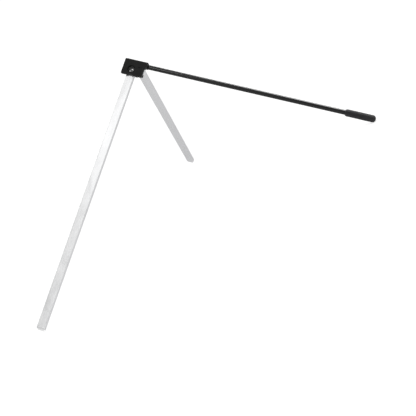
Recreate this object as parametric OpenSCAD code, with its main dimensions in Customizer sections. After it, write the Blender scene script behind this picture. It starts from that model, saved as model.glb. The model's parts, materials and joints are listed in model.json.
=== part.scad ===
// Folding three-point stand.
// Two flat aluminium legs and one round arm meet at right angles in a hinge head. Open, the stand rests on both
// feet and on the rubber grip of the arm. Both legs swing through a quarter turn to lie along the arm.
//
// The pieces are drawn in the frame of the head: the origin is on the head's front face, on the axis of the left
// leg's hinge, the arm runs along +X, the rear leg along +Y and the left leg along -Z. in_stance() then stands the
// whole thing on its three feet. Millimetres.

/* [Legs] */
// Width of the leg profile
leg_w = 20; // [18:0.5:20]
// Thickness of the leg profile
leg_t = 12; // [10:0.5:12]
// Wall of the leg profile
leg_wall = 1.5; // [1:0.1:2]
// Length of a leg from its hinge axis to the sole of its foot
leg_length = 680; // [300:10:900]
// Thickness of the foot plug's cap
foot_cap = 4.5; // [3:0.5:6]
// Width of the clipped corner of that cap
foot_clip = 6.5; // [2:0.5:8]
// Length of the foot plug's spigot
foot_spigot = 22; // [10:1:40]

/* [Arm] */
// Outside diameter of the arm tube
arm_d = 12; // [10:0.5:12]
// Wall of the arm tube
arm_wall = 1.2; // [0.8:0.1:2]
// Reach of the arm from the left leg's hinge axis to the tip of its grip
arm_reach = 617; // [300:1:900]
// Outside diameter of the grip
grip_d = 17.5; // [16:0.5:17.5]
// Length of the grip
grip_length = 74; // [50:1:120]
// Rounding of the grip's tip
grip_round = 8; // [3:0.5:8]

/* [Head] */
// Reach of the head to the left of the hinge axis
head_left = 24; // [22:0.5:28]
// Reach of the head to the right of the hinge axis
head_right = 32; // [31:0.5:34]
// Height of the head above the hinge axis
head_top = 26.5; // [26:0.5:30]
// Depth of the head below the hinge axis
head_bottom = 16; // [13:0.5:18]
// Reach of the arm socket to the right of the hinge axis
socket_right = 37; // [35:0.5:42]
// Thickness of the front cheek
cheek_t = 8; // [7:0.5:9]
// Rounding of the head's corners in its front view
head_corner = 3.5; // [1:0.5:5]
// Chamfer round the front face
front_chamfer = 3; // [1:0.5:4]
// Diameter of the recess round the left leg's bolt
recess_d = 19; // [16:0.5:20]
// Depth of that recess
recess_depth = 6; // [4:0.5:6]
// Height of the arch cut into the head's bottom edge over the left leg
arch_rise = 3; // [1:0.5:3.5]

/* [Hardware] */
// Shank diameter of the hinge bolts
bolt_d = 6; // [5:0.5:6]
// Flange diameter of the left hinge's bolt
bolt_flange_d = 13.5; // [12:0.5:15]
// Width across flats of the hexagon socket in a bolt
bolt_hex = 4; // [3:0.5:4]
// Outside diameter of the bush in each leg
bush_d = 9; // [8:0.5:10]
// Thickness of a friction washer
washer_t = 0.8; // [0.5:0.1:1]
// Outside diameter of a friction washer
washer_d = 14; // [12:0.5:14]
// Width across flats of the rear hinge's nut
nut_hex = 10; // [8:0.5:10]
// Height of that thin nut
nut_h = 3.2; // [2.5:0.1:3.4]

/* [Hidden] */
$fn = 64;

eps = 0.01;              // overlap that keeps a cut clean
far = 60;                // longer than any cut through the head
bolt_r = bolt_d / 2;
running = 0.05;          // radial clearance of a turning fit
loose = 0.1;             // radial clearance of a fixed fit
swing_gap = 0.3;         // clearance of a leg's side in its slot
face_gap = 0.05;         // clearance of each turning face
slot_t = leg_t + 2 * (washer_t + face_gap);

foot_rim = 1;            // cap left at the foot's clipped corner

// Left leg's slot, between the front cheek and the rear wall
left_slot_y = cheek_t;
left_leg_y = left_slot_y + slot_t / 2;
rear_wall_y = left_slot_y + slot_t;

// Rear leg's hinge, behind the left leg's slot
rear_pivot_x = 8 + leg_w / 2;
rear_pivot_y = rear_wall_y + 0.4 + leg_w / 2;
rear_leg_z = 8;
rear_slot_top = rear_leg_z + slot_t / 2;
rear_slot_bottom = rear_leg_z - slot_t / 2;
tongue_r = 7.2;
head_back = rear_pivot_y + tongue_r;
rear_bottom = 6;         // depth of the head's rear part below the hinge axis
tongue_bottom = 4;       // depth of the lug under the rear leg
rear_recess_depth = 4.5;
rear_recess_d = 12.5;
rear_flange_d = 11.5;

// Arch in the bottom edge, as wide as the leg
arch_r = (pow(leg_w / 2, 2) + pow(arch_rise, 2)) / (2 * arch_rise);

// Brake screw and its pad, in the front cheek beside the left hinge
brake_x = 20.5;
brake_z = 7;
brake_d = 5;
brake_sink = 2;          // depth of the screw below the front face
brake_pad_t = 2;
brake_gap = 0.3;         // clearance of the slackened pad from the leg's face
brake_pad_y = left_leg_y - leg_t / 2 - brake_gap - brake_pad_t;

// Arm and its socket
arm_r = arm_d / 2;
arm_y = 14;
arm_z = 19;
arm_start = 3;
socket_wall = 1;
core_length = 30;
set_screw_x = 10;
set_screw_d = 5;
set_screw_length = 9;
socket_hex = 2.5;        // width across flats of the socket in a set screw

// Bolt heads
flange_t = 1;
dome_t = 2.1;
dome_rim = 0.8;          // flange left bare round the dome
hex_depth = 2;
spring_t = 1;
spring_d = 11.5;
insert_length = 9;
hinge_insert_length = 28;

// Grip
grip_r = grip_d / 2;
grip_start = arm_reach - grip_length;
grip_lead = 4;           // length of the taper at the grip's inner end
grip_cover = 9;          // rubber beyond the tube's end
grip_ring = grip_r - grip_round;

// The floor, from the points that touch it: one corner of each foot and the rounded tip of the grip.
// Its unit normal points down. A rounded tip's lowest point depends on the normal, so the solution is repeated.
left_contact = [leg_w / 2, left_leg_y + leg_t / 2, -leg_length];
rear_contact = [rear_pivot_x + leg_w / 2, rear_pivot_y + leg_length, rear_leg_z - leg_t / 2];
tip_centre = [arm_reach - grip_round, arm_y, arm_z];

function unit(v) = v / norm(v);
function tip_support(d) = d * tip_centre + grip_ring * norm([d[1], d[2]]) + grip_round;
function tip_contact(d) = tip_centre + grip_ring * unit([0, d[1], d[2]]) + grip_round * d;
function down_from(tip) = unit(cross(rear_contact - left_contact, tip - left_contact));
function floor_normal(d, repeats) =
    repeats == 0 ? d : floor_normal(down_from(tip_contact(d)), repeats - 1);

down = floor_normal([0.6, 0.55, -0.55], 8);
stance_z = -down;
stance_y = unit([0, 1, 0] - stance_z[1] * stance_z);
stance_x = cross(stance_y, stance_z);

// The sole's corners in a leg's front view: across the leg, and along it from the hinge
sole = [[leg_w / 2, leg_length], [foot_clip - leg_w / 2, leg_length],
        [-leg_w / 2, leg_length - foot_cap + foot_rim]];

// Plan extents, so that the origin is at the middle of the footprint
foot_corners = concat(
    [for (p = sole) for (side = [-1, 1]) [p[0], left_leg_y + side * leg_t / 2, -p[1]]],
    [for (p = sole) for (side = [-1, 1])
        [rear_pivot_x + p[0], rear_pivot_y + p[1], rear_leg_z + side * leg_t / 2]]);
function reach(d) = max(concat([for (p = foot_corners) d * p], [tip_support(d)]));
function middle(axis) = (reach(axis) - reach(-axis)) / 2;
plan_middle = [middle(stance_x), middle(stance_y)];
stance_height = down * left_contact;

module in_stance()
    multmatrix([
        [stance_x[0], stance_x[1], stance_x[2], -plan_middle[0]],
        [stance_y[0], stance_y[1], stance_y[2], -plan_middle[1]],
        [stance_z[0], stance_z[1], stance_z[2], stance_height],
        [0, 0, 0, 1]]) children();

// Turns a thing drawn along +Z so that it runs along +Y, with its own Y along -Z
module along_y() rotate([-90, 0, 0]) children();

// Turns a thing drawn along +Z so that it runs along +X
module along_x() rotate([0, 90, 0]) children();

module ring(outer_d, inner_d, height)
    difference() {
        cylinder(d = outer_d, h = height);
        translate([0, 0, -eps]) cylinder(d = inner_d, h = height + 2 * eps);
    }

module hexagon(flats, height) cylinder(d = flats / cos(30), h = height, $fn = 6);

module rounded_rectangle(low, high, radius) {
    size = high - low;
    translate(low + [radius, 0]) square(size - [2 * radius, 0]);
    translate(low + [0, radius]) square(size - [0, 2 * radius]);
    for (x = [low[0] + radius, high[0] - radius], y = [low[1] + radius, high[1] - radius])
        translate([x, y]) circle(radius);
}

// Head -------------------------------------------------------------------------------------------------------

// Front view of the head, in X and Z
module head_front_view()
    rounded_rectangle([-head_left, -head_bottom], [head_right, head_top], head_corner);

// Plan of the head, in X and Y
module head_plan() {
    c = front_chamfer;
    waist = head_right - 5.5;
    polygon([
        [-head_left + c, 0], [head_right - c, 0], [head_right, c], [head_right, cheek_t - 1],
        [waist, cheek_t + 4], [waist, rear_wall_y], [rear_pivot_x, rear_wall_y],
        [rear_pivot_x, head_back], [-6, head_back], [-head_left, head_back - 16], [-head_left, c]]);
    translate([rear_pivot_x, rear_pivot_y]) circle(tongue_r);
}

// Side view of the head, in Y and Z
module head_side_view() {
    c = front_chamfer;
    polygon([
        [c / 2, -head_bottom], [cheek_t - 1.5, -head_bottom], [cheek_t + 5, -rear_bottom],
        [head_back - 1.5, -rear_bottom], [head_back, -rear_bottom + 1.5],
        [head_back, head_top - 2.5], [head_back - 2.5, head_top],
        [c, head_top], [0, head_top - c], [0, -head_bottom + c / 2]]);
}

// Side view of the collar round the arm, in Y and Z, flush with the head's front and top
module collar_side_view() {
    c = front_chamfer;
    drop = arm_r + socket_wall;
    polygon([
        [0, arm_z - drop + c / 2], [c / 2, arm_z - drop], [arm_y, arm_z - drop], [arm_y + drop, arm_z],
        [arm_y + drop, head_top - 1], [arm_y + drop - 1, head_top], [c, head_top], [0, head_top - c]]);
    translate([arm_y, arm_z]) circle(drop);
}

// Cutter for the arch, drawn along +Y
module bottom_arch()
    translate([0, -eps, arch_rise - head_bottom - arch_r]) along_y() cylinder(r = arch_r, h = cheek_t + 2);

module brake_hole() translate([brake_x, -eps, brake_z]) along_y() cylinder(d = brake_d, h = cheek_t + 1);

module head_outside() {
    intersection() {
        translate([0, far, 0]) rotate([90, 0, 0]) linear_extrude(2 * far) head_front_view();
        translate([0, 0, -far]) linear_extrude(2 * far) head_plan();
        translate([-far, 0, 0]) rotate([90, 0, 90]) linear_extrude(2 * far) head_side_view();
    }
    translate([socket_right - 12, 0, 0]) rotate([90, 0, 90]) linear_extrude(12) collar_side_view();
}

module left_leg_slot() {
    half = leg_w / 2 + swing_gap;
    translate([-half, left_slot_y, -far]) cube([2 * far, slot_t, far + half]);
}

module rear_leg_slot() {
    stop = rear_pivot_x - leg_w / 2 - swing_gap;
    translate([stop, rear_wall_y, rear_slot_bottom]) cube([far, far, slot_t]);
}

module left_pivot_holes() {
    translate([0, -eps, 0]) along_y() cylinder(d = recess_d, h = recess_depth + eps);
    along_y() cylinder(r = bolt_r + loose, h = rear_wall_y);
    translate([0, rear_wall_y - eps, 0]) along_y() cylinder(d = bush_d, h = insert_length + eps);
    translate([0, rear_wall_y, 0]) along_y() cylinder(r = bolt_r + loose, h = insert_length + 2);
}

module rear_pivot_holes()
    translate([rear_pivot_x, rear_pivot_y, 0]) {
        translate([0, 0, -far / 2]) cylinder(r = bolt_r + loose, h = far);
        translate([0, 0, head_top - rear_recess_depth]) cylinder(d = rear_recess_d, h = far);
        translate([0, 0, -tongue_bottom - eps]) hexagon(nut_hex + 2 * loose, nut_h + 0.4 + eps);
    }

// Cutter that leaves the lug under the rear leg thinner than the rest of the head's rear part
module below_tongue()
    translate([rear_pivot_x - tongue_r - 1, rear_wall_y + 1, -far - tongue_bottom]) cube(far);

module arm_socket() {
    translate([arm_start, arm_y, arm_z]) along_x() cylinder(r = arm_r + running, h = far);
    translate([set_screw_x, arm_y, arm_z]) along_y() cylinder(d = set_screw_d, h = far);
}

// Cores that lighten the moulding, open at the left and the back
module moulding_cores() {
    for (z = [-3, 5, 13])
        translate([-head_left - eps, left_slot_y + 1, z]) cube([9 + eps, slot_t - 2, 6]);
}

module head_block()
    color([0.10, 0.10, 0.10])
        difference() {
            head_outside();
            left_leg_slot();
            rear_leg_slot();
            left_pivot_holes();
            rear_pivot_holes();
            below_tongue();
            arm_socket();
            moulding_cores();
            bottom_arch();
            brake_hole();
        }

// Hinge hardware ---------------------------------------------------------------------------------------------

// Flanged button-head bolt: the shank runs along +Z from under the flange
module pivot_bolt(length, flange_d)
    color([0.80, 0.80, 0.80])
        difference() {
            union() {
                cylinder(d = bolt_d, h = length);
                translate([0, 0, -flange_t]) cylinder(d = flange_d, h = flange_t);
                translate([0, 0, -flange_t]) mirror([0, 0, 1]) button(flange_d - 2 * dome_rim);
            }
            translate([0, 0, -flange_t - dome_t - eps]) hexagon(bolt_hex, hex_depth + eps);
        }

// Domed head, a slice of a ball
module button(dome_d) {
    ball_r = (pow(dome_d / 2, 2) + pow(dome_t, 2)) / (2 * dome_t);
    intersection() {
        translate([0, 0, dome_t - ball_r]) sphere(r = ball_r);
        translate([0, 0, -eps]) cylinder(d = dome_d, h = dome_t + 1);
    }
}

module friction_washer()
    color([0.92, 0.92, 0.88]) ring(washer_d, bolt_d + 2 * loose, washer_t);

module spring_washer()
    color([0.35, 0.35, 0.36])
        difference() {
            ring(spring_d, bolt_d + 2 * loose, spring_t);
            rotate([0, 0, 30]) translate([bolt_r - 1, -0.4, -1]) cube([spring_d, 0.8, spring_t + 2]);
        }

module left_pivot_bolt()
    translate([0, recess_depth - spring_t, 0])
        along_y() pivot_bolt(rear_wall_y + insert_length - recess_depth + spring_t, bolt_flange_d);

module left_spring_washer()
    translate([0, recess_depth - spring_t, 0]) along_y() spring_washer();

module left_thread_insert()
    color([0.72, 0.56, 0.24])
        translate([0, rear_wall_y, 0]) along_y() ring(bush_d, bolt_d, insert_length);

// Set screw along +Z with its socket at the far end
module set_screw(diameter, length)
    color([0.20, 0.20, 0.21])
        difference() {
            cylinder(d = diameter, h = length);
            translate([0, 0, length - 3]) hexagon(socket_hex, 3 + eps);
        }

module brake_screw()
    translate([brake_x, brake_pad_y, brake_z])
        mirror([0, 1, 0]) along_y() set_screw(brake_d, brake_pad_y - brake_sink);

module brake_pad()
    color([0.92, 0.92, 0.88])
        translate([brake_x, brake_pad_y, brake_z]) along_y() cylinder(d = brake_d, h = brake_pad_t);

module left_front_friction_washer() translate([0, left_slot_y, 0]) along_y() friction_washer();

module left_rear_friction_washer() translate([0, rear_wall_y - washer_t, 0]) along_y() friction_washer();

module rear_pivot_bolt()
    translate([rear_pivot_x, rear_pivot_y, head_top - rear_recess_depth + spring_t])
        mirror([0, 0, 1])
            pivot_bolt(head_top - rear_recess_depth + spring_t + tongue_bottom - 0.5, rear_flange_d);

module rear_spring_washer()
    translate([rear_pivot_x, rear_pivot_y, head_top - rear_recess_depth]) spring_washer();

module rear_pivot_nut()
    color([0.75, 0.75, 0.76])
        translate([rear_pivot_x, rear_pivot_y, -tongue_bottom + 0.4])
            difference() {
                hexagon(nut_hex, nut_h);
                translate([0, 0, -eps]) cylinder(d = bolt_d, h = nut_h + 2 * eps);
            }

module rear_upper_friction_washer()
    translate([rear_pivot_x, rear_pivot_y, rear_slot_top - washer_t]) friction_washer();

module rear_lower_friction_washer()
    translate([rear_pivot_x, rear_pivot_y, rear_slot_bottom]) friction_washer();

// Arm --------------------------------------------------------------------------------------------------------

module on_arm(x) translate([x, arm_y, arm_z]) along_x() children();

module arm_tube()
    color([0.06, 0.06, 0.06])
        on_arm(arm_start) ring(arm_d, arm_d - 2 * arm_wall, arm_reach - grip_cover - arm_start);

module arm_core_plug()
    color([0.85, 0.85, 0.80])
        on_arm(arm_start) cylinder(d = arm_d - 2 * arm_wall, h = core_length);

module arm_set_screw()
    translate([set_screw_x, arm_y + arm_r, arm_z]) along_y() set_screw(set_screw_d, set_screw_length);

// Rubber sleeve with a tapered lead and a rounded, closed tip
module arm_grip()
    color([0.13, 0.13, 0.14])
        on_arm(grip_start)
            difference() {
                rotate_extrude() {
                    polygon([
                        [0, 0], [grip_r - 1.7, 0], [grip_r, grip_lead], [grip_r, grip_length - grip_round],
                        [grip_ring, grip_length - grip_round], [grip_ring, grip_length], [0, grip_length]]);
                    intersection() {
                        translate([grip_ring, grip_length - grip_round]) circle(grip_round);
                        translate([grip_ring, grip_length - grip_round]) square(grip_round);
                    }
                }
                translate([0, 0, -eps]) cylinder(d = arm_d, h = grip_length - grip_cover + eps);
            }

// Legs -------------------------------------------------------------------------------------------------------

// A leg is drawn from its hinge axis along -Z, with its thickness along Y.

// Flat bar with one full-round end at the hinge
module leg_bar(width, thickness, length) {
    translate([-width / 2, -thickness / 2, -length]) cube([width, thickness, length]);
    translate([0, -thickness / 2, 0]) along_y() cylinder(d = width, h = thickness);
}

module across_leg(diameter)
    translate([0, -leg_t, 0]) along_y() cylinder(d = diameter, h = 2 * leg_t);

module leg_tube()
    color([0.84, 0.85, 0.86])
        difference() {
            leg_bar(leg_w, leg_t, leg_length - foot_cap);
            translate([-leg_w / 2 + leg_wall, -leg_t / 2 + leg_wall, -2 * leg_length])
                cube([leg_w - 2 * leg_wall, leg_t - 2 * leg_wall, 3 * leg_length]);
            across_leg(bush_d);
        }

module leg_hinge_insert()
    color([0.62, 0.63, 0.65])
        difference() {
            intersection() {
                leg_bar(leg_w - 0.6, leg_t - 2 * leg_wall, hinge_insert_length);
                translate([-leg_w / 2 + leg_wall, -leg_t, -leg_length])
                    cube([leg_w - 2 * leg_wall, 2 * leg_t, 2 * leg_length]);
            }
            across_leg(bush_d);
        }

module leg_bush()
    color([0.70, 0.71, 0.73])
        translate([0, -leg_t / 2, 0]) along_y() ring(bush_d, bolt_d + 2 * running, leg_t);

// Front view of the foot's cap, with one corner clipped
module foot_outline() {
    top = leg_length - foot_cap;
    polygon([for (p = concat([[-leg_w / 2, top], [leg_w / 2, top]], sole)) [p[0], -p[1]]]);
}

module leg_foot()
    color([0.80, 0.81, 0.82]) {
        translate([0, leg_t / 2, 0]) rotate([90, 0, 0]) linear_extrude(leg_t) foot_outline();
        translate([-leg_w / 2 + leg_wall, -leg_t / 2 + leg_wall, -leg_length + foot_cap - eps])
            cube([leg_w - 2 * leg_wall, leg_t - 2 * leg_wall, foot_spigot + eps]);
    }

module at_left_hinge() translate([0, left_leg_y, 0]) children();

module at_rear_hinge() translate([rear_pivot_x, rear_pivot_y, rear_leg_z]) rotate([90, 0, 0]) children();

// Nodes ------------------------------------------------------------------------------------------------------

in_stance() head_block();
in_stance() left_pivot_bolt();
in_stance() left_spring_washer();
in_stance() left_thread_insert();
in_stance() left_front_friction_washer();
in_stance() left_rear_friction_washer();
in_stance() brake_screw();
in_stance() brake_pad();
in_stance() rear_pivot_bolt();
in_stance() rear_spring_washer();
in_stance() rear_pivot_nut();
in_stance() rear_upper_friction_washer();
in_stance() rear_lower_friction_washer();
in_stance() arm_tube();
in_stance() arm_core_plug();
in_stance() arm_set_screw();
in_stance() arm_grip();
in_stance() at_left_hinge() leg_tube();  // left_leg_tube
in_stance() at_left_hinge() leg_hinge_insert();  // left_leg_hinge_insert
in_stance() at_left_hinge() leg_bush();  // left_leg_bush
in_stance() at_left_hinge() leg_foot();  // left_leg_foot
in_stance() at_rear_hinge() leg_tube();  // rear_leg_tube
in_stance() at_rear_hinge() leg_hinge_insert();  // rear_leg_hinge_insert
in_stance() at_rear_hinge() leg_bush();  // rear_leg_bush
in_stance() at_rear_hinge() leg_foot();  // rear_leg_foot
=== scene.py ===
import json
import math

import bmesh
import bpy
from mathutils import Matrix, Vector


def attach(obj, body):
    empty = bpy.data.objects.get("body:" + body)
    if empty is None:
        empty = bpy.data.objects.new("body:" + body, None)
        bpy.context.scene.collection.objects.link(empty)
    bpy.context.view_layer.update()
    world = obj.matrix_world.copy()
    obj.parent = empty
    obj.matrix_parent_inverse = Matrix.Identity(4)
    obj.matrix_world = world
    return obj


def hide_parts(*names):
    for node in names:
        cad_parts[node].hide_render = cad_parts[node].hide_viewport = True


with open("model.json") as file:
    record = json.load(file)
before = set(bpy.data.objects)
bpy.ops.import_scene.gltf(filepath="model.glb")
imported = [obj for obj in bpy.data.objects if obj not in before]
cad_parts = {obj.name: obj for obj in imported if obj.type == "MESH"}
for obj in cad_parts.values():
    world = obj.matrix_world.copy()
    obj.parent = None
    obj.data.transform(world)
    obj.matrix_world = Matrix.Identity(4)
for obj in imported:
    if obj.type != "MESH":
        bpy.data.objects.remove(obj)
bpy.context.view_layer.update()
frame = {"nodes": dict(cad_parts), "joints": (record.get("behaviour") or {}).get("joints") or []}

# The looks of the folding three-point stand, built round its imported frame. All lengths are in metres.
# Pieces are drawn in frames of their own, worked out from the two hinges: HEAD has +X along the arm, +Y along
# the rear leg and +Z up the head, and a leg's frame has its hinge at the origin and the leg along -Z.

MM = 0.001


# Frames -------------------------------------------------------------------------------------------

def joint(name):
    """A joint's row in the frame's list."""
    return next(j for j in frame["joints"] if j["name"] == name)


def frame_at(origin, x, y, z):
    """The matrix of a frame with that origin and those unit axes."""
    return Matrix.Translation(origin) @ Matrix((x, y, z)).transposed().to_4x4()


DEPTH = -Vector(joint("left_leg_hinge")["axis"]).normalized()
HEIGHT = -Vector(joint("rear_leg_hinge")["axis"]).normalized()
REACH = DEPTH.cross(HEIGHT)
LEFT_HINGE = Vector(joint("left_leg_hinge")["pos_m"])
REAR_HINGE = Vector(joint("rear_leg_hinge")["pos_m"])
HEAD = frame_at(LEFT_HINGE, REACH, DEPTH, HEIGHT)
LEFT_LEG = HEAD
REAR_LEG = frame_at(REAR_HINGE, REACH, HEIGHT, -DEPTH)


def span(node, within):
    """Lowest and highest corner of a CAD node, measured in a frame."""
    back = within.inverted()
    points = [back @ v.co for v in frame["nodes"][node].data.vertices]
    low = Vector([min(p[i] for p in points) for i in range(3)])
    high = Vector([max(p[i] for p in points) for i in range(3)])
    return low, high


def along_depth(node):
    """A frame on a node's own axis, at its front end, with +Z along the head's +Y."""
    low, high = span(node, HEAD)
    middle = (low + high) / 2
    return frame_at(HEAD @ Vector((middle.x, low.y, middle.z)), HEIGHT, REACH, DEPTH)


def along_height(node):
    """A frame on a node's own axis, at its top end, with +Z down the head."""
    low, high = span(node, HEAD)
    middle = (low + high) / 2
    return frame_at(HEAD @ Vector((middle.x, middle.y, high.z)), DEPTH, REACH, -HEIGHT)


def along_reach(node):
    """A frame on a node's own axis, at its left end, with +Z along the head's +X."""
    low, high = span(node, HEAD)
    middle = (low + high) / 2
    return frame_at(HEAD @ Vector((low.x, middle.y, middle.z)), DEPTH, HEIGHT, REACH)


# Meshes -------------------------------------------------------------------------------------------

SHARP = math.radians(32)    # edges that turn by more than this are rounded, and stay sharp in the shading
FLAT = math.radians(0.6)    # faces that turn by less than this are joined
WELD = 0.004 * MM           # points closer than this are joined
DRAWN = "drawn"             # the attribute that keeps the coordinates a piece was drawn in


def new_piece(name, mesh, place, body, material, node):
    """Puts a mesh drawn in the frame `place` in the scene, as the piece that stands for a CAD node.

    Its materials follow the coordinates that it was drawn in, which it keeps in an attribute.
    """
    drawn = mesh.attributes.new(DRAWN, "FLOAT_VECTOR", "POINT")
    drawn.data.foreach_set("vector", [c for v in mesh.vertices for c in v.co])
    mesh.transform(place)
    piece = bpy.data.objects.new(name, mesh)
    bpy.context.scene.collection.objects.link(piece)
    mesh.materials.clear()
    mesh.materials.append(material)
    mesh.polygons.foreach_set("use_smooth", [True] * len(mesh.polygons))
    mesh.set_sharp_from_angle(angle=SHARP)
    evened = piece.modifiers.new("even_normals", "WEIGHTED_NORMAL")
    evened.keep_sharp = True
    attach(piece, body)
    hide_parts(node)
    return piece


def softened(node, place, radius, steps=3, only_convex=False):
    """A copy of a CAD node's shape, in the frame `place`, with its edges rounded."""
    mesh = frame["nodes"][node].data.copy()
    mesh.transform(place.inverted())
    build = bmesh.new()
    build.from_mesh(mesh)
    bmesh.ops.remove_doubles(build, verts=build.verts, dist=WELD)
    bmesh.ops.dissolve_limit(build, angle_limit=FLAT, verts=build.verts, edges=build.edges)
    edges = [
        e for e in build.edges
        if len(e.link_faces) == 2 and e.calc_face_angle() > SHARP and (e.is_convex or not only_convex)]
    bmesh.ops.bevel(
        build, geom=edges, offset=radius, offset_type="OFFSET", segments=steps, profile=0.5,
        affect="EDGES", clamp_overlap=False, miter_outer="ARC", material=-1)
    bmesh.ops.remove_doubles(build, verts=build.verts, dist=WELD)
    build.to_mesh(mesh)
    build.free()
    return mesh


def filleted(points, radius, steps=5):
    """An open outline of (along, out) points with its inner corners rounded."""
    most = 0.45    # the share of a side that one rounding may take
    corners = [Vector(p) for p in points]
    smooth = [corners[0]]
    for before, corner, after in zip(corners, corners[1:], corners[2:]):
        back, forth = before - corner, after - corner
        turn = back.angle(forth)
        if turn > math.radians(179):
            smooth.append(corner)
            continue
        cut = min(radius / math.tan(turn / 2), most * back.length, most * forth.length)
        start, end = corner + back.normalized() * cut, corner + forth.normalized() * cut
        for i in range(steps + 1):
            t = i / steps
            smooth.append(start * (1 - t) ** 2 + corner * 2 * t * (1 - t) + end * t * t)
    smooth.append(corners[-1])
    return smooth


def turned(name, outline, sides=96, closed=False):
    """A mesh turned on +Z from an outline of (along, out) points. A closed outline is a ring's section."""
    build = bmesh.new()
    rings = []
    for along, out in outline:
        if out < 1e-7:
            rings.append([build.verts.new((0, 0, along))])
            continue
        steps = [2 * math.pi * i / sides for i in range(sides)]
        rings.append([build.verts.new((out * math.cos(a), out * math.sin(a), along)) for a in steps])
    pairs = list(zip(rings, rings[1:]))
    if closed:
        pairs.append((rings[-1], rings[0]))
    for one, other in pairs:
        for i in range(sides):
            j = (i + 1) % sides
            if len(one) == 1:
                build.faces.new((one[0], other[j], other[i]))
            elif len(other) == 1:
                build.faces.new((one[i], one[j], other[0]))
            else:
                build.faces.new((one[i], one[j], other[j], other[i]))
    bmesh.ops.recalc_face_normals(build, faces=build.faces)
    mesh = bpy.data.meshes.new(name)
    build.to_mesh(mesh)
    build.free()
    return mesh


# Materials ----------------------------------------------------------------------------------------

class Finish:
    """One material's node tree, written from its Principled shader outwards."""

    def __init__(self, name, **constants):
        self.material = bpy.data.materials.new(name)
        self.material.use_nodes = True
        self.tree = self.material.node_tree
        self.shader = self.tree.nodes["Principled BSDF"]
        for socket, value in constants.items():
            self.shader.inputs[socket.replace("_", " ")].default_value = value
        self.place = self.add("ShaderNodeAttribute", attribute_name=DRAWN).outputs["Vector"]

    def add(self, kind, **settings):
        node = self.tree.nodes.new(kind)
        for key, value in settings.items():
            setattr(node, key, value)
        return node

    def join(self, output, socket):
        self.tree.links.new(output, socket)

    def feed(self, node, **inputs):
        """Sets a node's inputs, by name, from numbers, colours or other nodes' outputs."""
        for name, value in inputs.items():
            socket = node.inputs[name.replace("_", " ")]
            if isinstance(value, bpy.types.NodeSocket):
                self.join(value, socket)
            else:
                socket.default_value = value
        return node

    def stretched(self, x, y, z):
        """The drawn coordinates, scaled by a number of cycles per metre on each axis."""
        node = self.add("ShaderNodeMapping")
        self.join(self.place, node.inputs["Vector"])
        node.inputs["Scale"].default_value = (x, y, z)
        return node.outputs["Vector"]

    def noise(self, place, scale=1.0, detail=3.0, roughness=0.55, distortion=0.0):
        node = self.add("ShaderNodeTexNoise")
        self.feed(node, Vector=place, Scale=scale, Detail=detail, Roughness=roughness,
                  Distortion=distortion)
        return node.outputs["Fac"]

    def ramp(self, value, low, high, dark=0.0, bright=1.0):
        """A value from low to high, mapped on to the range from dark to bright and held there."""
        node = self.add("ShaderNodeMapRange")
        self.join(value, node.inputs["Value"])
        for name, number in (("From Min", low), ("From Max", high), ("To Min", dark), ("To Max", bright)):
            node.inputs[name].default_value = number
        return node.outputs["Result"]

    def calculate(self, operation, one, other):
        node = self.add("ShaderNodeMath", operation=operation)
        for socket, value in zip(node.inputs, (one, other)):
            if isinstance(value, bpy.types.NodeSocket):
                self.join(value, socket)
            else:
                socket.default_value = value
        return node.outputs["Value"]

    def blend(self, share, one, other):
        """Colour `one` where the share is 0 and `other` where it is 1."""
        node = self.add("ShaderNodeMix", data_type="RGBA")
        self.join(share, node.inputs["Factor"])
        for socket, value in ((node.inputs[6], one), (node.inputs[7], other)):
            if isinstance(value, bpy.types.NodeSocket):
                self.join(value, socket)
            else:
                socket.default_value = (*value, 1)
        return node.outputs[2]

    def edges(self, radius):
        """0 on flat places and up to 1 along edges."""
        rounded = self.add("ShaderNodeBevel", samples=6)
        rounded.inputs["Radius"].default_value = radius
        flat = self.add("ShaderNodeNewGeometry").outputs["Normal"]
        dot = self.add("ShaderNodeVectorMath", operation="DOT_PRODUCT")
        self.join(rounded.outputs["Normal"], dot.inputs[0])
        self.join(flat, dot.inputs[1])
        return self.ramp(dot.outputs["Value"], 0.995, 0.86)

    def painted_hollow_shade(self, reach):
        """0 in the open and up to 1 in sockets and corners, from ambient occlusion: a mask for painted shade.
        """
        node = self.add("ShaderNodeAmbientOcclusion", samples=8)
        node.inputs["Distance"].default_value = reach
        return self.ramp(node.outputs["AO"], 0.72, 0.38)

    def colour(self, output):
        self.join(output, self.shader.inputs["Base Color"])

    def roughness(self, output):
        self.join(output, self.shader.inputs["Roughness"])

    def relief(self, height, depth, under=None):
        """Bumps of a depth in metres, on top of other bumps."""
        node = self.add("ShaderNodeBump")
        self.join(height, node.inputs["Height"])
        node.inputs["Distance"].default_value = depth
        if under is not None:
            self.join(under, node.inputs["Normal"])
        self.join(node.outputs["Normal"], self.shader.inputs["Normal"])
        return node.outputs["Normal"]


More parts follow.
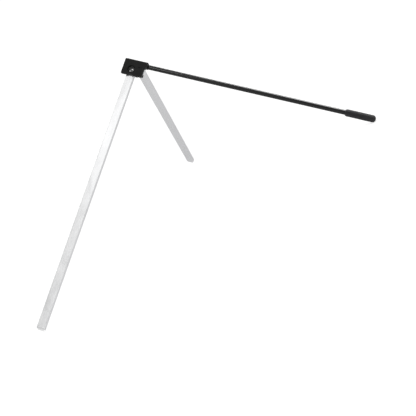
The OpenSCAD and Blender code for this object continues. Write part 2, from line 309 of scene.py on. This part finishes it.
def leg_aluminium():
    """Satin anodised extrusion: fine lines along the leg, faint handling marks and a few scratches."""
    f = Finish("satin_aluminium", Metallic=1.0, Specular_Tint=(0.62, 0.62, 0.63, 1))
    lines = f.noise(f.stretched(2600, 2600, 9), detail=4, roughness=0.6)
    drawn = f.noise(f.stretched(420, 420, 3), detail=2)
    smudges = f.noise(f.stretched(26, 26, 14), detail=5, roughness=0.6, distortion=0.6)
    scratches = f.ramp(f.noise(f.stretched(900, 700, 34), detail=2, distortion=1.4), 0.735, 0.76)
    tone = f.blend(f.ramp(lines, 0.3, 0.7), (0.60, 0.602, 0.606), (0.66, 0.662, 0.666))
    tone = f.blend(f.ramp(smudges, 0.52, 0.75, 0, 0.35), tone, (0.56, 0.562, 0.566))
    tone = f.blend(f.calculate("MULTIPLY", scratches, 0.5), tone, (0.80, 0.80, 0.80))
    f.colour(tone)
    base = f.ramp(smudges, 0.3, 0.75, 0.2, 0.3)
    f.roughness(f.calculate("ADD", base, f.ramp(lines, 0.3, 0.7, -0.03, 0.04)))
    under = f.relief(lines, 0.000012)
    under = f.relief(drawn, 0.00002, under)
    f.relief(scratches, -0.00002, under)
    return f.material


def cast_insert():
    """Sawn and tumbled aluminium of the blocks inside the legs."""
    f = Finish("cast_aluminium", Metallic=0.85)
    cloud = f.noise(f.stretched(160, 160, 160), detail=6, roughness=0.7)
    cuts = f.noise(f.stretched(60, 60, 1800), detail=2)
    f.colour(f.blend(f.ramp(cloud, 0.3, 0.7), (0.50, 0.51, 0.52), (0.64, 0.65, 0.66)))
    f.roughness(f.ramp(cloud, 0.3, 0.7, 0.42, 0.6))
    f.relief(cuts, 0.00004, f.relief(cloud, 0.00006))
    return f.material


def moulded_plastic(name, dark, light, worn, grain=1.0, specular=0.18):
    """Spark-textured moulding, with faint flow marks and edges polished by handling."""
    f = Finish(name, Specular_IOR_Level=specular, IOR=1.49)
    texture = f.noise(f.stretched(3400, 3400, 3400), detail=2, roughness=0.5)
    flow = f.noise(f.stretched(30, 55, 40), detail=4, roughness=0.6, distortion=1.2)
    rub = f.calculate("MULTIPLY", f.edges(0.9 * MM), f.ramp(flow, 0.38, 0.62))
    tone = f.blend(f.ramp(flow, 0.3, 0.72), dark, light)
    tone = f.blend(f.ramp(texture, 0.42, 0.7, 0, 0.45), tone, light)
    f.colour(f.blend(f.calculate("MULTIPLY", rub, 0.55), tone, worn))
    f.roughness(f.calculate("SUBTRACT", f.ramp(texture, 0.3, 0.7, 0.5, 0.66),
                            f.calculate("MULTIPLY", rub, 0.16)))
    f.relief(texture, 0.00007 * grain, f.relief(flow, 0.00012))
    return f.material


def arm_black():
    """Satin black enamel on a drawn tube: long soft lines, dust and a few rubbed spots."""
    f = Finish("satin_black", Specular_IOR_Level=0.1, IOR=1.5, Coat_Weight=0.32, Coat_Roughness=0.1)
    lines = f.noise(f.stretched(1500, 1500, 7), detail=3)
    orange_peel = f.noise(f.stretched(620, 620, 620), detail=2)
    dust = f.ramp(f.noise(f.stretched(90, 90, 30), detail=6, roughness=0.75), 0.56, 0.8)
    f.colour(f.blend(f.calculate("MULTIPLY", dust, 0.5), (0.003, 0.003, 0.0032), (0.012, 0.012, 0.0126)))
    f.roughness(f.calculate("ADD", f.ramp(dust, 0, 1, 0.34, 0.46), f.ramp(lines, 0.3, 0.7, -0.03, 0.03)))
    f.relief(orange_peel, 0.00002, f.relief(lines, 0.000012))
    return f.material


def grip_rubber():
    """Matte rubber with a fine pebbled skin, paler where it has been handled."""
    f = Finish("grip_rubber", Specular_IOR_Level=0.2, IOR=1.52, Sheen_Weight=0.05, Sheen_Roughness=0.6)
    pebbles = f.add("ShaderNodeTexVoronoi", feature="SMOOTH_F1")
    f.feed(pebbles, Vector=f.stretched(1500, 1500, 1500), Scale=1.0, Smoothness=0.6)
    pebble = pebbles.outputs["Distance"]
    handled = f.noise(f.stretched(75, 75, 28), detail=5, roughness=0.65)
    rings = f.noise(f.stretched(6, 6, 1300), detail=1)
    tone = f.blend(f.ramp(handled, 0.32, 0.7), (0.011, 0.011, 0.012), (0.020, 0.020, 0.0217))
    f.colour(f.blend(f.ramp(pebble, 0.25, 0.8, 0, 0.4), tone, (0.006, 0.006, 0.0066)))
    f.roughness(f.ramp(handled, 0.3, 0.7, 0.82, 0.66))
    f.relief(pebble, -0.00012, f.relief(rings, 0.00002))
    return f.material


def turned_metal(name, dark, light, rough, turning, specks=0.0):
    """Bright or blackened hardware: tool rings round the axis and small dull patches."""
    f = Finish(name, Metallic=1.0)
    wave = f.add("ShaderNodeTexWave", wave_type="RINGS", rings_direction="Z", wave_profile="SIN")
    f.feed(wave, Vector=f.place, Scale=turning, Distortion=0.8, Detail=1.0)
    rings = wave.outputs["Fac"]
    cloud = f.noise(f.stretched(240, 240, 240), detail=5, roughness=0.65)
    tone = f.blend(f.ramp(cloud, 0.3, 0.7), dark, light)
    tone = f.blend(f.ramp(cloud, 0.66, 0.8, 0, specks), tone, (0.30, 0.22, 0.15))
    # painted shade: sockets, corners and the ring round a bolt's flange darkened towards near black
    f.colour(f.blend(f.painted_hollow_shade(1.6 * MM), tone, (0.02, 0.018, 0.016)))
    f.roughness(f.calculate("ADD", f.ramp(cloud, 0.3, 0.72, rough, rough + 0.14),
                            f.ramp(rings, 0, 1, -0.02, 0.03)))
    f.relief(rings, 0.000008, f.relief(cloud, 0.00001))
    return f.material


def nylon():
    """Natural nylon: milky, waxy and a little scuffed."""
    f = Finish("nylon", Subsurface_Weight=0.3, Subsurface_Scale=0.002, IOR=1.53)
    f.shader.inputs["Subsurface Radius"].default_value = (1.0, 0.9, 0.7)
    cloud = f.noise(f.stretched(190, 190, 190), detail=5, roughness=0.6)
    scuffs = f.ramp(f.noise(f.stretched(1400, 200, 1400), detail=2, distortion=2), 0.6, 0.72)
    tone = f.blend(f.ramp(cloud, 0.3, 0.7), (0.74, 0.735, 0.69), (0.84, 0.835, 0.80))
    f.colour(f.blend(f.calculate("MULTIPLY", scuffs, 0.4), tone, (0.55, 0.55, 0.53)))
    f.roughness(f.ramp(cloud, 0.3, 0.7, 0.36, 0.52))
    f.relief(scuffs, -0.00002, f.relief(cloud, 0.00003))
    return f.material


def pale_floor():
    """Seamless matte white studio floor."""
    f = Finish("pale_floor", Specular_IOR_Level=0.1, Emission_Color=(1, 1, 1, 1))
    f.place = f.add("ShaderNodeTexCoord").outputs["Object"]
    away = f.add("ShaderNodeVectorMath", operation="LENGTH")
    f.join(f.place, away.inputs[0])
    f.join(f.ramp(away.outputs["Value"], 0.9, 3.2, 0.5, 0.57), f.shader.inputs["Emission Strength"])
    f.shader.inputs["Roughness"].default_value = 0.9
    cloud = f.noise(f.stretched(0.7, 0.7, 0.7), detail=2)
    f.colour(f.blend(f.ramp(cloud, 0.3, 0.7), (0.93, 0.93, 0.93), (0.95, 0.95, 0.95)))
    return f.material


ALUMINIUM = leg_aluminium()
INSERT = cast_insert()
HEAD_PLASTIC = moulded_plastic("head_plastic", (0.007, 0.007, 0.007), (0.0115, 0.0115, 0.0113),
                               (0.030, 0.030, 0.030))
FOOT_PLASTIC = moulded_plastic("foot_plastic", (0.72, 0.722, 0.725), (0.79, 0.792, 0.795),
                               (0.85, 0.85, 0.85), 0.6, 0.35)
ARM_BLACK = arm_black()
RUBBER = grip_rubber()
BRIGHT_STEEL = turned_metal("bright_steel", (0.28, 0.28, 0.28), (0.36, 0.36, 0.355), 0.22, 900)
# The bright steel again, darkened for the left hinge bolt alone: painted shade of the deep recess it sits in.
SHADED_BRIGHT_STEEL = turned_metal("shaded_bright_steel", (0.075, 0.075, 0.075), (0.115, 0.115, 0.114), 0.1, 900)
DARK_STEEL = turned_metal("black_oxide", (0.035, 0.035, 0.038), (0.06, 0.06, 0.063), 0.34, 700, 0.15)
BRASS = turned_metal("brass", (0.50, 0.36, 0.13), (0.62, 0.46, 0.19), 0.26, 1100)
NYLON = nylon()


# Pieces -------------------------------------------------------------------------------------------

BUSH_BORE_R = 3.05 * MM
ARM_WALL = 1.2 * MM


def head():
    mesh = softened("head_block", HEAD, 0.45 * MM)
    new_piece("head_moulding", mesh, HEAD, "head", HEAD_PLASTIC, "head_block")


def leg(side, place):
    """The four pieces of one leg. Both legs are the same parts."""
    body = side + "_leg"
    tube = softened(body + "_tube", place, 0.6 * MM, 4, only_convex=True)
    new_piece(side + "_leg_extrusion", tube, place, body, ALUMINIUM, body + "_tube")
    foot = softened(body + "_foot", place, 0.6 * MM, 3)
    new_piece(side + "_leg_foot_plug", foot, place, body, FOOT_PLASTIC, body + "_foot")
    block = softened(body + "_hinge_insert", place, 0.3 * MM, 2)
    new_piece(side + "_leg_hinge_block", block, place, body, INSERT, body + "_hinge_insert")
    low, high = span(body + "_bush", place)
    inner, outer, chamfer = BUSH_BORE_R, (high.x - low.x) / 2, 0.25 * MM
    section = [
        (low.y, inner + chamfer), (low.y, outer - chamfer), (low.y + chamfer, outer),
        (high.y - chamfer, outer), (high.y, outer - chamfer), (high.y, inner + chamfer),
        (high.y - chamfer, inner), (low.y + chamfer, inner)]
    sleeve = turned(side + "_leg_sleeve", section, 64, closed=True)
    across = place @ frame_at(Vector((0, 0, 0)), Vector((0, 0, 1)), Vector((1, 0, 0)), Vector((0, 1, 0)))
    new_piece(side + "_leg_sleeve", sleeve, across, body, DARK_STEEL, body + "_bush")


def hardware():
    """Bolts, nut, washers and screws, each with broken edges."""
    rows = [
        # The left hinge bolt wears the darkened copy of the bright steel: painted shade.
        ("left_hinge_bolt", "left_pivot_bolt", along_depth, "bright_steel", SHADED_BRIGHT_STEEL, 0.22),
        ("left_hinge_spring_washer", "left_spring_washer", along_depth, "dark_steel", DARK_STEEL, 0.12),
        ("left_hinge_insert", "left_thread_insert", along_depth, "brass", BRASS, 0.15),
        ("left_hinge_front_washer", "left_front_friction_washer", along_depth, "nylon", NYLON, 0.12),
        ("left_hinge_back_washer", "left_rear_friction_washer", along_depth, "nylon", NYLON, 0.12),
        ("brake_grub_screw", "brake_screw", along_depth, "dark_steel", DARK_STEEL, 0.25),
        ("brake_nylon_pad", "brake_pad", along_depth, "nylon", NYLON, 0.2),
        ("rear_hinge_bolt", "rear_pivot_bolt", along_height, "bright_steel", BRIGHT_STEEL, 0.22),
        ("rear_hinge_spring_washer", "rear_spring_washer", along_height, "dark_steel", DARK_STEEL, 0.12),
        ("rear_hinge_nut", "rear_pivot_nut", along_height, "bright_steel", BRIGHT_STEEL, 0.3),
        ("rear_hinge_top_washer", "rear_upper_friction_washer", along_height, "nylon", NYLON, 0.12),
        ("rear_hinge_low_washer", "rear_lower_friction_washer", along_height, "nylon", NYLON, 0.12),
        ("arm_grub_screw", "arm_set_screw", along_depth, "dark_steel", DARK_STEEL, 0.25)]
    for name, node, placing, slot, material, edge in rows:
        place = placing(node)
        new_piece(name, softened(node, place, edge * MM, 2), place, "head", material, node)


def arm():
    """The tube and the plug inside its end, both turned."""
    low, high = span("arm_tube", HEAD)
    place = along_reach("arm_tube")
    length, outer = high.x - low.x, (high.z - low.z) / 2
    inner, edge = outer - ARM_WALL, 0.3 * MM
    section = [
        (0, inner), (0, outer - edge), (edge, outer), (length - edge, outer), (length, outer - edge),
        (length, inner)]
    tube = turned("arm_tube_black", section, 96, closed=True)
    new_piece("arm_tube_black", tube, place, "head", ARM_BLACK, "arm_tube")
    low, high = span("arm_core_plug", HEAD)
    length, outer = high.x - low.x, (high.z - low.z) / 2
    plug = filleted([(0, 0), (0, outer), (length, outer), (length, 0)], 0.5 * MM)
    new_piece("arm_core", turned("arm_core", plug, 64), along_reach("arm_core_plug"), "head",
              NYLON, "arm_core_plug")


def grip():
    """Sleeve with a tapered lead, a ring groove before its rounded tip and a bored inner end."""
    low, high = span("arm_grip", HEAD)
    length, outer = high.x - low.x, (high.z - low.z) / 2
    tube_low, tube_high = span("arm_tube", HEAD)
    bore, depth = (tube_high.z - tube_low.z) / 2 + 0.02 * MM, tube_high.x - low.x
    lead, lead_rise, round_r, round_steps = 4 * MM, 1.7 * MM, 8 * MM, 12
    groove_at, groove_half, floor_half, groove_depth = length - 13 * MM, 0.9 * MM, 0.4 * MM, 0.35 * MM
    outline = [
        (depth, 0), (depth, bore), (0, bore), (0, outer - lead_rise), (lead, outer),
        (groove_at - groove_half, outer), (groove_at - floor_half, outer - groove_depth),
        (groove_at + floor_half, outer - groove_depth), (groove_at + groove_half, outer),
        (length - round_r, outer)]
    outline = filleted(outline, 0.4 * MM, 3)
    for i in range(1, round_steps + 1):
        a = math.pi / 2 * i / round_steps
        outline.append(Vector((length - round_r + round_r * math.sin(a),
                               outer - round_r + round_r * math.cos(a))))
    outline.append(Vector((length, 0)))
    new_piece("arm_grip_rubber", turned("arm_grip_rubber", outline, 128), along_reach("arm_grip"), "head",
              RUBBER, "arm_grip")


head()
leg("left", LEFT_LEG)
leg("rear", REAR_LEG)
hardware()
arm()
grip()


# Studio -------------------------------------------------------------------------------------------

VIEW_AZIMUTH = math.radians(-0.68)
VIEW_ELEVATION = math.radians(13.10)
VIEW_ROLL = math.radians(-32.45)
VIEW_TARGET = Vector((0.0248, -0.0591, -0.0406))
VIEW_DISTANCE = 2.6162
VIEW_LENS = 83.21
FLOOR_RADIUS = 60
HORIZON, CEILING = 1.07, 0.34    # brightness of the white round the horizon and overhead

# Name, place, point it faces, size, watts, and the pieces that it shines on, or none for everything
LIGHTS = [
    ("key", (0.35, -1.26, 2.0), (0.35, -1.26, 0), (1.7, 0.70), 5.2, ()),
    ("fill", (-0.425, -1.93, 2.0), (-0.425, -1.93, 0), (1.45, 0.64), 3.7, ()),
    ("edge", (2.0, 0.45, 1.9), (0.3, -0.3, 0.2), (1.5, 1.3), 115, ("arm_tube_black", "arm_grip_rubber")),
    ("streak", (-0.5, -1.62, 1.58), (0.09, -0.2, 0.38), (0.22, 0.22), 3, ("arm_tube_black",)),
    ("glint", (0.97, -1.93, 1.16), (0.05, -0.17, 0.39), (0.5, 0.7), 22, ("left_hinge_bolt",)),
    ("gleam", (-1.65, -0.98, 1.12), (0.047, -0.18, 0.39), (0.4, 0.4), 34, ("left_hinge_bolt",))]


def camera():
    """A long lens from the front, a little above the floor and rolled over to the right."""
    cos_e = math.cos(VIEW_ELEVATION)
    ahead = Vector((-math.sin(VIEW_AZIMUTH) * cos_e, math.cos(VIEW_AZIMUTH) * cos_e,
                    -math.sin(VIEW_ELEVATION)))
    level = ahead.cross(Vector((0, 0, 1))).normalized()
    upright = level.cross(ahead)
    right = level * math.cos(VIEW_ROLL) + upright * math.sin(VIEW_ROLL)
    up = right.cross(ahead)
    data = bpy.data.cameras.new("camera")
    data.lens = VIEW_LENS
    data.sensor_width = 36
    data.clip_end = 500
    eye = bpy.data.objects.new("camera", data)
    bpy.context.scene.collection.objects.link(eye)
    eye.matrix_world = frame_at(VIEW_TARGET - ahead * VIEW_DISTANCE, right, up, -ahead)
    bpy.context.scene.camera = eye


def soft_light(name, place, aim, size, watts, lit):
    """A rectangular soft light, which shines on the pieces named in `lit` only, if there are any."""
    data = bpy.data.lights.new(name, "AREA")
    data.shape = "RECTANGLE"
    data.size, data.size_y = size
    data.energy = watts
    light = bpy.data.objects.new(name, data)
    bpy.context.scene.collection.objects.link(light)
    light.location = place
    light.rotation_euler = (Vector(aim) - Vector(place)).to_track_quat("-Z", "Y").to_euler()
    if lit:
        group = bpy.data.collections.new("lit_by_" + name)
        light.light_linking.receiver_collection = group
        for piece in lit:
            group.objects.link(bpy.data.objects[piece])


def white_tent():
    """Bright white round the horizon, fading to a dim ceiling."""
    world = bpy.data.worlds.new("studio")
    world.use_nodes = True
    tree = world.node_tree
    direction = tree.nodes.new("ShaderNodeTexCoord").outputs["Generated"]
    parts = tree.nodes.new("ShaderNodeSeparateXYZ")
    tree.links.new(direction, parts.inputs["Vector"])
    fade = tree.nodes.new("ShaderNodeMapRange")
    fade.interpolation_type = "SMOOTHSTEP"
    tree.links.new(parts.outputs["Z"], fade.inputs["Value"])
    for name, number in (("From Min", 0.35), ("From Max", 0.8), ("To Min", HORIZON), ("To Max", CEILING)):
        fade.inputs[name].default_value = number
    tree.links.new(fade.outputs["Result"], tree.nodes["Background"].inputs["Strength"])
    tree.nodes["Background"].inputs["Color"].default_value = (1, 1, 1, 1)
    return world


def studio():
    """The floor, the white round it and the lights."""
    build = bmesh.new()
    bmesh.ops.create_circle(build, cap_ends=True, radius=FLOOR_RADIUS, segments=96)
    mesh = bpy.data.meshes.new("floor")
    build.to_mesh(mesh)
    build.free()
    floor = bpy.data.objects.new("floor", mesh)
    bpy.context.scene.collection.objects.link(floor)
    floor.data.materials.append(pale_floor())
    bpy.context.scene.world = white_tent()
    for light in LIGHTS:
        soft_light(*light)
    bpy.context.scene.view_settings.view_transform = "Standard"


camera()
studio()
